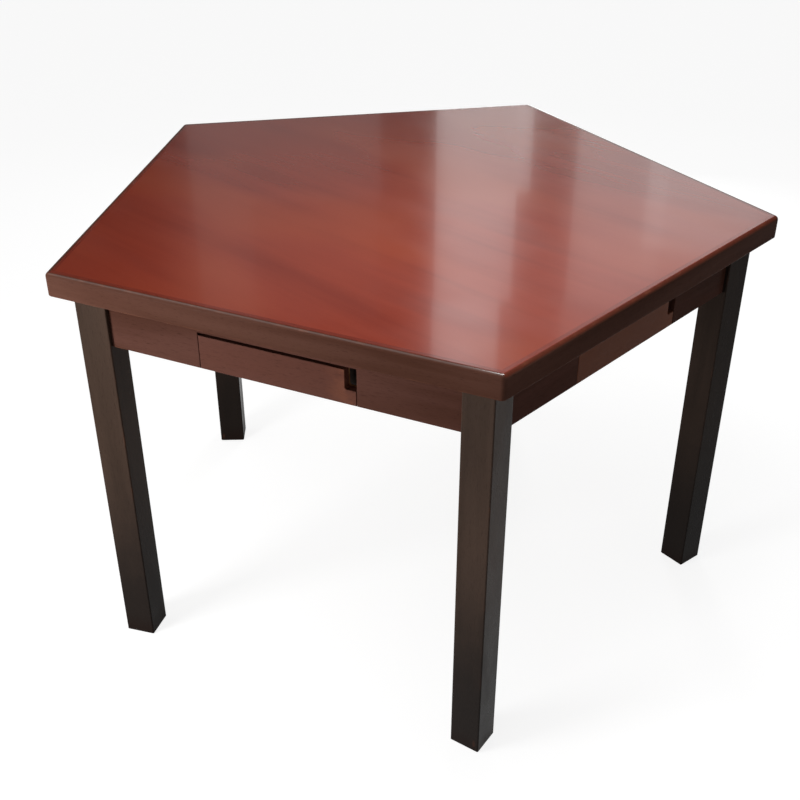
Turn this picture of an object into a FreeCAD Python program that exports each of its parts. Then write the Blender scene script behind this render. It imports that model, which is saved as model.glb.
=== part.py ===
import FreeCAD, Part
import Sketcher
import math
import os

# Five-sided games table with a shallow drawer in each apron.
# Origin on the floor, under the middle of the top's bounding box, +Z up, front side towards -Y.

SIDES = 5
FULL_TURN = 360
QUARTER_TURN = 90
SECTOR = FULL_TURN / SIDES
HALF = SECTOR / 2
SKEW = QUARTER_TURN / 2 - HALF
FLATS = 6

SIDE_NAMES = ["front", "right", "back_right", "back_left", "left"]
CORNER_NAMES = ["front_right", "right", "back", "left", "front_left"]
HANDS = {"left": -1, "right": 1}

ORIGIN = FreeCAD.Vector(0, 0, 0)
UP = FreeCAD.Vector(0, 0, 1)
ALONG = FreeCAD.Vector(1, 0, 0)
INWARD = FreeCAD.Vector(0, 1, 0)
TOLERANCE = 1e-4

# Points of a sketch's element, in the order that a constraint numbers them.
START, END, CENTRE = range(1, 4)

# Driving dimensions in millimetres: alias, value, what it is.
DRIVING = [
    ("top_side", 760, "one side of the top"),
    ("table_height", 750, "floor to the top surface"),
    ("top_thickness", 40, "panel and lippings"),
    ("lipping_thickness", 14, "hardwood edge, seen from above"),
    ("arris_radius", 7, "round of the upper edge"),
    ("corner_ease", 2, "what a corner's round has more than the upper edge's"),
    ("lower_arris_radius", 2.5, "round of the lower edge"),
    ("leg_width", 54, "square section of a leg"),
    ("leg_setback", 38.5, "top's corner to the leg's outer edge"),
    ("leg_arris", 2.5, "round of a leg's long edges"),
    ("foot_ease", 2, "chamfer round a foot"),
    ("leg_flat_depth", 12, "chamfer on a leg's inner edge, behind the aprons"),
    ("apron_setback", 46.5, "top's edge to an apron's face"),
    ("apron_thickness", 20, "board of an apron"),
    ("apron_height", 95, "under the top"),
    ("edge_ease", 1, "small round on the shown edges of aprons and drawer faces"),
    ("opening_width", 274, "drawer opening in an apron"),
    ("opening_height", 63, "from the apron's lower edge"),
    ("face_gap_side", 0.8, "drawer face to the opening's ends"),
    ("face_gap_top", 5, "slit over a drawer face"),
    ("face_thickness", 18, "board of a drawer face"),
    ("notch_width", 19, "finger notch in a face's right end"),
    ("notch_height", 33, "finger notch, down from the face's top"),
    ("notch_round", 4, "inner corner of the finger notch"),
    ("wall_set_in", 2, "finger notch to the drawer's wall"),
    ("wall_thickness", 12, "side wall of a drawer"),
    ("wall_rise", 4, "apron's lower edge to a wall's lower edge"),
    ("wall_height", 46, "side wall of a drawer"),
    ("housing_depth", 6, "walls let into the face"),
    ("bottom_rise", 4, "wall's lower edge to the drawer's bottom"),
    ("bottom_thickness", 6, "board of a drawer's bottom"),
    ("bottom_groove", 5, "depth of the groove that holds the bottom"),
    ("back_thickness", 12, "board of a drawer's back"),
    ("back_catch", 12, "how far a back reaches over the opening's top"),
    ("tail_length", 60, "walls behind the drawer's back"),
    ("tail_gap", 9, "wall's end to the runner's end"),
    ("tongue_rise", 28, "wall's lower edge to the top of the tongue"),
    ("tongue_height", 10, "tongue on a runner"),
    ("tongue_reach", 6, "tongue out of its runner"),
    ("tongue_gap", 0.3, "over the tongue, where the drawer hangs"),
    ("groove_play", 0.7, "under the tongue"),
    ("groove_relief", 0.6, "tongue's edge to the bottom of the groove"),
    ("stop_gap", 0.5, "tongue's front end to the groove's end"),
    ("wall_gap", 1, "wall to runner"),
    ("runner_thickness", 34, "board of a runner"),
    ("runner_lip", 14, "runner under its tongue"),
    ("runner_room", 6, "runner's inner end to the line between two sides"),
    ("finger_room", 22, "apron to the runner's front end"),
    ("block_gap", 5, "draw gap between a leg and its corner block"),
    ("block_thickness", 28, "board of a corner block"),
    ("block_rise", 25, "apron's lower edge to the block's"),
    ("bolt_diameter", 8, "hanger bolt"),
    ("bolt_bite", 38, "hanger bolt in its leg"),
    ("bolt_tail", 5, "hanger bolt past its nut"),
    ("nut_width", 13, "across the nut's flats"),
    ("nut_height", 6.5, "nut of a hanger bolt"),
    ("coach_screw_diameter", 8, "screws up through the corner blocks into the top"),
    ("coach_screw_width", 13, "across the flats of a coach screw's head"),
    ("coach_screw_head_height", 5.5, "head of a coach screw"),
    ("coach_screw_bite", 26, "coach screw in the top panel"),
    ("coach_screw_aside", 28, "hanger bolt to the coach screw beside it"),
    ("fastener_play", 0.2, "hole over its screw or bolt, on the diameter"),
    ("overrun", 5, "how far every cut runs past what it cuts"),
]

# Places that follow from them. Distances out from the middle of the table are named _out,
# half widths along a side _half and heights over the floor _level.
DERIVED = [
    ("top_out", f"Sizes.top_side / 2 / tan({HALF})"),
    ("corner_out", f"Sizes.top_side / 2 / sin({HALF})"),
    ("corner_radius", "Sizes.arris_radius + Sizes.corner_ease"),
    ("tip_out", f"corner_out - corner_radius * (1 / cos({HALF}) - 1)"),
    ("middle_place", "-(tip_out - top_out) / 2"),
    ("under_level", "Sizes.table_height - Sizes.top_thickness"),
    ("panel_out", "top_out - Sizes.lipping_thickness"),
    ("panel_corner_out", f"panel_out / cos({HALF})"),
    ("apron_out", "top_out - Sizes.apron_setback"),
    ("apron_back_out", "apron_out - Sizes.apron_thickness"),
    ("apron_level", "under_level - Sizes.apron_height"),
    ("leg_corner_out", "corner_out - Sizes.leg_setback"),
    ("leg_reach", "Sizes.leg_width / sqrt(2)"),
    ("leg_middle_out", "leg_corner_out - leg_reach"),
    ("leg_flat_out", "leg_middle_out - leg_reach + Sizes.leg_flat_depth"),
    ("leg_edge_half", f"leg_middle_out * sin({HALF}) - leg_reach * cos({HALF})"),
    ("leg_edge_out", f"leg_middle_out * cos({HALF}) + leg_reach * sin({HALF})"),
    ("apron_half", f"leg_edge_half + (leg_edge_out - apron_out) * tan({SKEW})"),
    ("apron_back_half", f"leg_edge_half + (leg_edge_out - apron_back_out) * tan({SKEW})"),
    ("opening_half", "Sizes.opening_width / 2"),
    ("opening_level", "apron_level + Sizes.opening_height"),
    ("face_half", "opening_half - Sizes.face_gap_side"),
    ("face_level", "opening_level - Sizes.face_gap_top"),
    ("face_back_out", "apron_out - Sizes.face_thickness"),
    ("notch_half", "face_half - Sizes.notch_width"),
    ("notch_level", "face_level - Sizes.notch_height"),
    ("wall_half", "notch_half - Sizes.wall_set_in"),
    ("wall_inner_half", "wall_half - Sizes.wall_thickness"),
    ("wall_level", "apron_level + Sizes.wall_rise"),
    ("wall_top_level", "wall_level + Sizes.wall_height"),
    ("wall_front_out", "face_back_out + Sizes.housing_depth"),
    ("tongue_level", "wall_level + Sizes.tongue_rise"),
    ("tongue_low_level", "tongue_level - Sizes.tongue_height"),
    ("runner_half", "wall_half + Sizes.wall_gap"),
    ("runner_outer_half", "runner_half + Sizes.runner_thickness"),
    ("runner_level", "tongue_low_level - Sizes.runner_lip"),
    ("tongue_half", "runner_half - Sizes.tongue_reach"),
    ("runner_front_out", "apron_back_out - Sizes.finger_room"),
    ("runner_end_out", f"(Sizes.runner_room + runner_outer_half * cos({HALF})) / sin({HALF})"),
    ("runner_length", "runner_front_out - runner_end_out"),
    ("groove_half", "tongue_half - Sizes.groove_relief"),
    ("groove_level", "tongue_low_level - Sizes.groove_play"),
    ("groove_top_level", "tongue_level + Sizes.tongue_gap"),
    ("groove_front_out", "runner_front_out + Sizes.stop_gap"),
    ("wall_end_out", "runner_end_out + Sizes.tail_gap"),
    ("back_end_out", "wall_end_out + Sizes.tail_length"),
    ("back_front_out", "back_end_out + Sizes.back_thickness"),
    ("bottom_level", "wall_level + Sizes.bottom_rise"),
    ("bottom_top_level", "bottom_level + Sizes.bottom_thickness"),
    ("bottom_half", "wall_inner_half + Sizes.bottom_groove"),
    ("bottom_front_out", "face_back_out + Sizes.bottom_groove"),
    ("back_level", "opening_level + Sizes.back_catch"),
    ("travel", "apron_back_out - back_front_out - Sizes.stop_gap"),
    ("block_front_out", "leg_flat_out - Sizes.block_gap"),
    ("block_back_out", "block_front_out - Sizes.block_thickness"),
    ("block_front_half", f"(apron_back_out - block_front_out * cos({HALF})) / sin({HALF})"),
    ("block_back_half", f"(apron_back_out - block_back_out * cos({HALF})) / sin({HALF})"),
    ("block_level", "apron_level + Sizes.block_rise"),
    ("block_height", "under_level - block_level"),
    ("block_middle_out", "(block_front_out + block_back_out) / 2"),
    ("bolt_level", "(block_level + under_level) / 2"),
    ("bolt_end_out", "leg_flat_out + Sizes.bolt_bite"),
    ("bolt_start_out", "block_back_out - Sizes.nut_height - Sizes.bolt_tail"),
    ("bolt_hole", "Sizes.bolt_diameter + Sizes.fastener_play"),
    ("coach_screw_hole", "Sizes.coach_screw_diameter + Sizes.fastener_play"),
]

doc = FreeCAD.newDocument("GamesTable")
subparts = []


# Sheets

def driving_sheet():
    """The sizes that can be set one by one."""
    sheet = doc.addObject("Spreadsheet::Sheet", "Sizes")
    for row, (alias, value, note) in enumerate(DRIVING, 1):
        sheet.set(f"A{row}", note)
        sheet.set(f"B{row}", str(value))
        sheet.setAlias(f"B{row}", alias)
    doc.recompute()
    return sheet


def derived_sheet():
    """The places and sizes that follow from the driving ones."""
    sheet = doc.addObject("Spreadsheet::Sheet", "Derived")
    for row, (alias, formula) in enumerate(DERIVED, 1):
        sheet.set(f"A{row}", f"={formula}")
        sheet.setAlias(f"A{row}", alias)
    doc.recompute()
    return sheet


sizes = driving_sheet()
derived = derived_sheet()


def size(name):
    """Value of a driving dimension."""
    return getattr(sizes, name)


def place(name):
    """Value of a derived dimension."""
    return getattr(derived, name)


# Bodies and sketches

def new_body(name, turn):
    """Body in a frame on the table's middle axis, turned about it."""
    body = doc.addObject("PartDesign::Body", name)
    body.Label = name
    body.Placement = FreeCAD.Placement(ORIGIN, FreeCAD.Rotation(UP, turn))
    body.setExpression("Placement.Base.y", "Derived.middle_place")
    subparts.append(body)
    return body


def new_sketch(body, name, plane, lift="0"):
    """Sketch on one of the body's own planes, moved along its normal."""
    sketch = body.newObject("Sketcher::SketchObject", name)
    support = [item for item in body.Origin.OriginFeatures if item.Role == plane][0]
    sketch.AttachmentSupport = [(support, "")]
    sketch.MapMode = "FlatFace"
    sketch.setExpression("AttachmentOffset.Base.z", lift)
    return sketch


def bind(sketch, constraint, formula):
    """Adds a dimension that follows a formula."""
    index = sketch.addConstraint(constraint)
    sketch.setExpression(f"Constraints[{index}]", formula)


def pin(sketch, item, end, corner):
    """Holds one end of an item at the formulas of its two coordinates."""
    for kind, formula in zip(("DistanceX", "DistanceY"), corner):
        value = float(sketch.evalExpression(formula))
        bind(sketch, Sketcher.Constraint(kind, item, end, value), formula)


def vector(sketch, corner):
    """Numbers of a corner that is given as two formulas."""
    return FreeCAD.Vector(*[float(sketch.evalExpression(formula)) for formula in corner], 0)


def draw_outline(sketch, corners):
    """Closed outline of straight lines through corners given as formulas."""
    points = [vector(sketch, corner) for corner in corners]
    first = sketch.GeometryCount
    count = len(points)
    for index in range(count):
        line = Part.LineSegment(points[index], points[(index + 1) % count])
        sketch.addGeometry(line, False)
    for index in range(count):
        following = first + (index + 1) % count
        sketch.addConstraint(Sketcher.Constraint("Coincident", first + index, END, following, START))
    for index, corner in enumerate(corners):
        pin(sketch, first + index, START, corner)


def draw_rectangle(sketch, left, low, right, high):
    """Rectangle between formulas."""
    draw_outline(sketch, [(left, low), (right, low), (right, high), (left, high)])


def draw_circle(sketch, corner, diameter):
    """Circle about a corner given as formulas."""
    radius = float(sketch.evalExpression(diameter)) / 2
    index = sketch.addGeometry(Part.Circle(vector(sketch, corner), UP, radius), False)
    pin(sketch, index, CENTRE, corner)
    bind(sketch, Sketcher.Constraint("Diameter", index, 2 * radius), diameter)


def pad(body, name, sketch, length, inward=False):
    """Raises a sketch by a formula; inward goes against the sketch's normal."""
    feature = body.newObject("PartDesign::Pad", name)
    feature.Profile = sketch
    feature.setExpression("Length", length)
    feature.Reversed = inward
    doc.recompute()
    return feature


def pocket(body, name, sketch, length, outward=False):
    """Cuts a sketch against its normal, or along it where outward, and checks that it cut."""
    before = body.Shape.Volume
    feature = body.newObject("PartDesign::Pocket", name)
    feature.Profile = sketch
    feature.setExpression("Length", length)
    feature.Reversed = outward
    doc.recompute()
    if not feature.Shape.Volume < before:
        raise RuntimeError(f"{body.Label}: {name} cut nothing")
    return feature


def edge_names(shape, keep):
    """Names of the edges whose middle and shape pass a test."""
    return [f"Edge{index}" for index, edge in enumerate(shape.Edges, 1) if keep(edge)]


def ease(body, name, base, keep, radius, kind="PartDesign::Fillet"):
    """Rounds or chamfers the edges of a feature that pass a test."""
    feature = body.newObject(kind, name)
    feature.Base = (base, edge_names(base.Shape, keep))
    feature.setExpression("Radius" if kind.endswith("Fillet") else "Size", radius)
    doc.recompute()
    return feature


# The top

def top_panel():
    """Pentagonal board with the pilot holes of the coach screws in its underside."""
    body = new_body("top_panel", 0)
    sketch = new_sketch(body, "panel_outline", "XY_Plane", "Derived.under_level")
    corners = []
    for index in range(SIDES):
        angle = HALF + SECTOR * index - QUARTER_TURN
        corners.append((f"Derived.panel_corner_out * cos({angle})",
                        f"Derived.panel_corner_out * sin({angle})"))
    draw_outline(sketch, corners)
    pad(body, "panel_board", sketch, "Sizes.top_thickness")
    pilots = new_sketch(body, "panel_pilots", "XY_Plane", "Derived.under_level")
    half = f"Derived.block_middle_out * sin({HALF}) + Sizes.coach_screw_aside * cos({HALF})"
    out = f"Derived.block_middle_out * cos({HALF}) - Sizes.coach_screw_aside * sin({HALF})"
    draw_circle(pilots, (half, f"-({out})"), "Derived.coach_screw_hole")
    drilled = pocket(body, "panel_pilot_holes", pilots, "Sizes.coach_screw_bite", outward=True)
    pattern = body.newObject("PartDesign::PolarPattern", "panel_holes_around")
    pattern.Originals = [drilled]
    axis = [item for item in body.Origin.OriginFeatures if item.Role == "Z_Axis"][0]
    pattern.Axis = (axis, [""])
    pattern.Angle = FULL_TURN
    pattern.Occurrences = SIDES
    body.Tip = pattern
    doc.recompute()


def lipping(side, turn):
    """Mitred edge of the top along one side, rounded above, below and at its share of the corners."""
    body = new_body(f"lipping_{side}", turn)
    sketch = new_sketch(body, f"lipping_{side}_outline", "XY_Plane", "Derived.under_level")
    flat = f"(Sizes.top_side / 2 - Derived.corner_radius * tan({HALF}))"
    middle = "(Derived.top_out - Derived.corner_radius)"
    mitre = (f"({flat} + Derived.corner_radius * sin({HALF}))",
             f"({middle} + Derived.corner_radius * cos({HALF}))")
    inner = f"(Derived.panel_out * tan({HALF}))"
    lines = [
        ((f"-{inner}", "-Derived.panel_out"), (inner, "-Derived.panel_out")),
        ((inner, "-Derived.panel_out"), (mitre[0], f"-{mitre[1]}")),
        ((flat, "-Derived.top_out"), (f"-{flat}", "-Derived.top_out")),
        ((f"-{mitre[0]}", f"-{mitre[1]}"), (f"-{inner}", "-Derived.panel_out")),
    ]
    for start, end in lines:
        sketch.addGeometry(Part.LineSegment(vector(sketch, start), vector(sketch, end)), False)
    radius = place("corner_radius")
    for hand in HANDS.values():
        centre = vector(sketch, (f"{hand} * {flat}", f"-{middle}"))
        low = -math.pi / 2
        high = low + hand * math.radians(HALF)
        circle = Part.Circle(centre, UP, radius)
        sketch.addGeometry(Part.ArcOfCircle(circle, min(low, high), max(low, high)), False)
    left = len(lines)
    right = left + 1
    joints = [(0, END, 1, START), (3, END, 0, START), (1, END, right, END), (right, START, 2, START),
              (2, END, left, END), (left, START, 3, START)]
    for first, first_end, second, second_end in joints:
        sketch.addConstraint(Sketcher.Constraint("Coincident", first, first_end, second, second_end))
    for item, (start, end) in enumerate(lines):
        pin(sketch, item, START, start)
        if item in (1, 2):
            pin(sketch, item, END, end)
    for item in (left, right):
        bind(sketch, Sketcher.Constraint("Radius", item, radius), "Derived.corner_radius")
    board = pad(body, f"lipping_{side}_board", sketch, "Sizes.top_thickness")
    limit = place("panel_out") + size("lipping_thickness") / 2

    def on_rim(edge, level):
        """Whether an edge lies on the outer rim at a level."""
        middle_point = edge.CenterOfMass
        return math.isclose(middle_point.z, level, abs_tol=TOLERANCE) and is_outer(edge)

    def is_outer(edge):
        """Whether an edge is the long outer one or one of the corner rounds."""
        if edge.Curve.TypeId == "Part::GeomCircle":
            return True
        return edge.CenterOfMass.y < -limit and abs(edge.CenterOfMass.x) < TOLERANCE

    upper = ease(body, f"lipping_{side}_arris", board, lambda edge: on_rim(edge, size("table_height")),
                 "Sizes.arris_radius")
    ease(body, f"lipping_{side}_lower_arris", upper, lambda edge: on_rim(edge, place("under_level")),
         "Sizes.lower_arris_radius")


# The underframe

def apron(side, turn):
    """Board between two legs, its ends cut to their skewed faces, open below for the drawer."""
    body = new_body(f"apron_{side}", turn)
    sketch = new_sketch(body, f"apron_{side}_outline", "XY_Plane", "Derived.apron_level")
    draw_outline(sketch, [
        ("-Derived.apron_half", "-Derived.apron_out"),
        ("Derived.apron_half", "-Derived.apron_out"),
        ("Derived.apron_back_half", "-Derived.apron_back_out"),
        ("-Derived.apron_back_half", "-Derived.apron_back_out"),
    ])
    pad(body, f"apron_{side}_board", sketch, "Sizes.apron_height")
    opening = new_sketch(body, f"apron_{side}_opening", "XZ_Plane", "Derived.apron_out + Sizes.overrun")
    draw_rectangle(opening, "-Derived.opening_half", "Derived.apron_level - Sizes.overrun",
                   "Derived.opening_half", "Derived.opening_level")
    cut = pocket(body, f"apron_{side}_opening_cut", opening, "Sizes.apron_thickness + 2 * Sizes.overrun")
    face = -place("apron_out")

    def shown(edge):
        """Whether an edge lies in the outer face, away from the top and the legs."""
        middle = edge.CenterOfMass
        in_face = math.isclose(middle.y, face, abs_tol=TOLERANCE)
        below_top = middle.z < place("opening_level") + TOLERANCE
        off_legs = abs(middle.x) < place("apron_half") - TOLERANCE
        return in_face and below_top and off_legs

    ease(body, f"apron_{side}_eased", cut, shown, "Sizes.edge_ease")


def leg(corner, turn):
    """Square post set corner-on, flattened inside behind the aprons for its hanger bolt."""
    body = new_body(f"leg_{corner}", turn)
    sketch = new_sketch(body, f"leg_{corner}_section", "XY_Plane")
    draw_outline(sketch, [
        ("0", "-Derived.leg_corner_out"),
        ("Derived.leg_reach", "-Derived.leg_middle_out"),
        ("0", "-(Derived.leg_middle_out - Derived.leg_reach)"),
        ("-Derived.leg_reach", "-Derived.leg_middle_out"),
    ])
    post = pad(body, f"leg_{corner}_post", sketch, "Derived.under_level")

    def upright(edge):
        """Whether an edge runs the post's whole height."""
        return edge.Length > place("under_level") - TOLERANCE

    rounded = ease(body, f"leg_{corner}_arrises", post, upright, "Sizes.leg_arris")

    def round_the_foot(edge):
        """Whether an edge lies in the foot's face."""
        return abs(edge.CenterOfMass.z) < TOLERANCE

    ease(body, f"leg_{corner}_foot", rounded, round_the_foot, "Sizes.foot_ease", "PartDesign::Chamfer")
    flat = new_sketch(body, f"leg_{corner}_flat", "XY_Plane", "Derived.under_level")
    draw_rectangle(flat, "-Derived.leg_reach", "-Derived.leg_flat_out",
                   "Derived.leg_reach", "-(Derived.leg_middle_out - Derived.leg_reach - Sizes.overrun)")
    pocket(body, f"leg_{corner}_flat_cut", flat, "Sizes.apron_height")
    hole = new_sketch(body, f"leg_{corner}_hole", "XZ_Plane", "Derived.leg_flat_out")
    draw_circle(hole, ("0", "Derived.bolt_level"), "Derived.bolt_hole")
    pocket(body, f"leg_{corner}_bolt_hole", hole, "Sizes.bolt_bite", outward=True)


def corner_block(corner, turn):
    """Block across a corner, between two aprons, that the leg is drawn against."""
    body = new_body(f"corner_block_{corner}", turn)
    sketch = new_sketch(body, f"corner_block_{corner}_outline", "XY_Plane", "Derived.block_level")
    draw_outline(sketch, [
        ("-Derived.block_front_half", "-Derived.block_front_out"),
        ("Derived.block_front_half", "-Derived.block_front_out"),
        ("Derived.block_back_half", "-Derived.block_back_out"),
        ("-Derived.block_back_half", "-Derived.block_back_out"),
    ])
    pad(body, f"corner_block_{corner}_board", sketch, "Derived.block_height")
    bolt = new_sketch(body, f"corner_block_{corner}_bolt", "XZ_Plane", "Derived.block_front_out")
    draw_circle(bolt, ("0", "Derived.bolt_level"), "Derived.bolt_hole")
    pocket(body, f"corner_block_{corner}_bolt_hole", bolt, "Sizes.block_thickness")
    screw = new_sketch(body, f"corner_block_{corner}_screw", "XY_Plane", "Derived.block_level")
    draw_circle(screw, ("Sizes.coach_screw_aside", "-Derived.block_middle_out"), "Derived.coach_screw_hole")
    pocket(body, f"corner_block_{corner}_screw_hole", screw, "Derived.block_height", outward=True)


def runner(side, turn, name, hand):
    """Board hung from the top beside a drawer, with the tongue that carries it."""
    label = f"{side}_runner_{name}"
    body = new_body(label, turn)
    sketch = new_sketch(body, f"{label}_section", "XZ_Plane", "Derived.runner_front_out")
    inner = f"{hand} * Derived.runner_half"
    outer = f"{hand} * Derived.runner_outer_half"
    tongue = f"{hand} * Derived.tongue_half"
    draw_outline(sketch, [
        (outer, "Derived.runner_level"),
        (outer, "Derived.under_level"),
        (inner, "Derived.under_level"),
        (inner, "Derived.tongue_level"),
        (tongue, "Derived.tongue_level"),
        (tongue, "Derived.tongue_low_level"),
        (inner, "Derived.tongue_low_level"),
        (inner, "Derived.runner_level"),
    ])
    pad(body, f"{label}_board", sketch, "Derived.runner_length", inward=True)


# The drawers

def drawer_face(side, turn):
    """Face that fills the opening flush, notched for a finger, housed for the walls and the bottom."""
    label = f"{side}_drawer_face"
    body = new_body(label, turn)
    sketch = new_sketch(body, f"{label}_outline", "XZ_Plane", "Derived.apron_out")
    draw_outline(sketch, [
        ("-Derived.face_half", "Derived.apron_level"),
        ("Derived.face_half", "Derived.apron_level"),
        ("Derived.face_half", "Derived.notch_level"),
        ("Derived.notch_half", "Derived.notch_level"),
        ("Derived.notch_half", "Derived.face_level"),
        ("-Derived.face_half", "Derived.face_level"),
    ])
    board = pad(body, f"{label}_board", sketch, "Sizes.face_thickness", inward=True)

    def notch_corner(edge):
        """Whether an edge is the inner corner of the finger notch."""
        middle = edge.CenterOfMass
        at_half = math.isclose(middle.x, place("notch_half"), abs_tol=TOLERANCE)
        return at_half and math.isclose(middle.z, place("notch_level"), abs_tol=TOLERANCE)

    notched = ease(body, f"{label}_notch_round", board, notch_corner, "Sizes.notch_round")
    front = -place("apron_out")

    def shown(edge):
        """Whether an edge lies in the outer face."""
        return math.isclose(edge.CenterOfMass.y, front, abs_tol=TOLERANCE)

    ease(body, f"{label}_eased", notched, shown, "Sizes.edge_ease")
    housings = new_sketch(body, f"{label}_housings", "XZ_Plane", "Derived.face_back_out")
    for hand in HANDS.values():
        draw_rectangle(housings, f"{hand} * Derived.wall_inner_half", "Derived.wall_level",
                       f"{hand} * Derived.wall_half", "Derived.wall_top_level")
    pocket(body, f"{label}_wall_housings", housings, "Sizes.housing_depth", outward=True)
    groove = new_sketch(body, f"{label}_groove", "XZ_Plane", "Derived.face_back_out")
    draw_rectangle(groove, "-Derived.wall_inner_half", "Derived.bottom_level",
                   "Derived.wall_inner_half", "Derived.bottom_top_level")
    pocket(body, f"{label}_bottom_groove", groove, "Sizes.bottom_groove", outward=True)


def drawer_wall(side, turn, name, hand):
    """Side wall, grooved outside for its runner's tongue and inside for the bottom."""
    label = f"{side}_drawer_{name}_wall"
    body = new_body(label, turn)
    sketch = new_sketch(body, f"{label}_section", "XZ_Plane", "Derived.wall_front_out")
    draw_rectangle(sketch, f"{hand} * Derived.wall_inner_half", "Derived.wall_level",
                   f"{hand} * Derived.wall_half", "Derived.wall_top_level")
    pad(body, f"{label}_board", sketch, "Derived.wall_front_out - Derived.wall_end_out", inward=True)
    track = new_sketch(body, f"{label}_track", "XZ_Plane", "Derived.groove_front_out")
    draw_rectangle(track, f"{hand} * Derived.groove_half", "Derived.groove_level",
                   f"{hand} * (Derived.wall_half + Sizes.overrun)", "Derived.groove_top_level")
    pocket(body, f"{label}_track_groove", track,
           "Derived.groove_front_out - Derived.wall_end_out + Sizes.overrun")
    groove = new_sketch(body, f"{label}_groove", "XZ_Plane", "Derived.wall_front_out + Sizes.overrun")
    draw_rectangle(groove, f"{hand} * (Derived.wall_inner_half - Sizes.overrun)", "Derived.bottom_level",
                   f"{hand} * Derived.bottom_half", "Derived.bottom_top_level")
    pocket(body, f"{label}_bottom_groove", groove,
           "Derived.wall_front_out - Derived.back_end_out + Sizes.overrun")


def drawer_back(side, turn):
    """Back between the walls, higher than the opening, so that it stops the open drawer at the apron."""
    label = f"{side}_drawer_back"
    body = new_body(label, turn)
    sketch = new_sketch(body, f"{label}_outline", "XZ_Plane", "Derived.back_front_out")
    draw_rectangle(sketch, "-Derived.wall_inner_half", "Derived.bottom_top_level",
                   "Derived.wall_inner_half", "Derived.back_level")
    pad(body, f"{label}_board", sketch, "Sizes.back_thickness", inward=True)


def drawer_bottom(side, turn):
    """Thin board in the grooves of the walls and the face, under the back."""
    label = f"{side}_drawer_bottom"
    body = new_body(label, turn)
    sketch = new_sketch(body, f"{label}_outline", "XY_Plane", "Derived.bottom_level")
    draw_outline(sketch, [
        ("-Derived.wall_inner_half", "-Derived.bottom_front_out"),
        ("Derived.wall_inner_half", "-Derived.bottom_front_out"),
        ("Derived.wall_inner_half", "-Derived.face_back_out"),
        ("Derived.bottom_half", "-Derived.face_back_out"),
        ("Derived.bottom_half", "-Derived.back_end_out"),
        ("-Derived.bottom_half", "-Derived.back_end_out"),
        ("-Derived.bottom_half", "-Derived.face_back_out"),
        ("-Derived.wall_inner_half", "-Derived.face_back_out"),
    ])
    pad(body, f"{label}_board", sketch, "Sizes.bottom_thickness")


# Fasteners, each kind one group of separate solids

def group(name, solids):
    """Node of equal fasteners, placed on the table's middle."""
    node = doc.addObject("Part::Feature", name)
    node.Label = name
    node.Shape = Part.makeCompound(solids)
    node.Placement = FreeCAD.Placement(FreeCAD.Vector(0, place("middle_place"), 0), FreeCAD.Rotation(UP, 0))
    subparts.append(node)


def hexagon(width, height, spot, axis, side):
    """Hexagonal prism across its flats, raised from a spot along an axis; side is any way across it."""
    across = width / 2 / math.cos(math.pi / FLATS)
    turns = [FreeCAD.Rotation(axis, step * FULL_TURN / FLATS) for step in range(FLATS + 1)]
    corners = [spot + turn.multVec(side) * across for turn in turns]
    return Part.Face(Part.makePolygon(corners)).extrude(axis * height)


def around(solid):
    """The same solid at each of the five corners."""
    copies = []
    for index in range(SIDES):
        copy = solid.copy()
        copy.rotate(ORIGIN, UP, HALF + index * SECTOR)
        copies.append(copy)
    return copies


def coach_screws():
    """Screws with hexagonal heads, up through the corner blocks into the top panel."""
    spot = FreeCAD.Vector(size("coach_screw_aside"), -place("block_middle_out"), place("block_level"))
    length = place("block_height") + size("coach_screw_bite")
    shank = Part.makeCylinder(size("coach_screw_diameter") / 2, length, spot, UP)
    head = hexagon(size("coach_screw_width"), size("coach_screw_head_height"), spot, -UP, ALONG)
    group("coach_screws", around(shank.fuse(head).Solids[0]))


def hanger_bolts():
    """Bolts from the legs through the corner blocks."""
    start = place("bolt_start_out")
    length = place("bolt_end_out") - start
    spot = FreeCAD.Vector(0, -start, place("bolt_level"))
    group("hanger_bolts", around(Part.makeCylinder(size("bolt_diameter") / 2, length, spot, -INWARD)))


def nuts():
    """Nuts that draw the legs against the blocks."""
    spot = FreeCAD.Vector(0, -place("block_back_out"), place("bolt_level"))
    prism = hexagon(size("nut_width"), size("nut_height"), spot, INWARD, ALONG)
    bore = Part.makeCylinder(place("bolt_hole") / 2, size("nut_height"), spot, INWARD)
    group("nuts", around(prism.cut(bore).Solids[0]))


def build():
    """Makes every piece of the table."""
    top_panel()
    for index, side in enumerate(SIDE_NAMES):
        turn = index * SECTOR
        lipping(side, turn)
        apron(side, turn)
        for name, hand in HANDS.items():
            runner(side, turn, name, hand)
            drawer_wall(side, turn, name, hand)
        drawer_face(side, turn)
        drawer_back(side, turn)
        drawer_bottom(side, turn)
    for index, corner in enumerate(CORNER_NAMES):
        turn = HALF + index * SECTOR
        leg(corner, turn)
        corner_block(corner, turn)
    hanger_bolts()
    nuts()
    coach_screws()


def check():
    """Stops at a failed object or a shape that isn't whole."""
    doc.recompute()
    for item in doc.Objects:
        if "Invalid" in item.State or "Error" in item.State:
            raise RuntimeError(f"{item.Label}: {item.State}")
    for part in subparts:
        if part.Shape.isNull() or not part.Shape.isValid() or not part.Shape.Solids:
            raise RuntimeError(f"{part.Label}: shape is not whole")


def export():
    """Writes one STEP file for each sub-part."""
    os.makedirs("parts", exist_ok=True)
    for part in subparts:
        part.Shape.exportStep(f"parts/{part.Label}.step")


build()
check()
export()
print("sub-parts", len(subparts), "travel", round(place("travel"), 2))
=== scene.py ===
import math

import bmesh
import bpy
from bpy.props import FloatProperty, FloatVectorProperty, IntProperty, PointerProperty
from mathutils import Matrix, Vector


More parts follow.
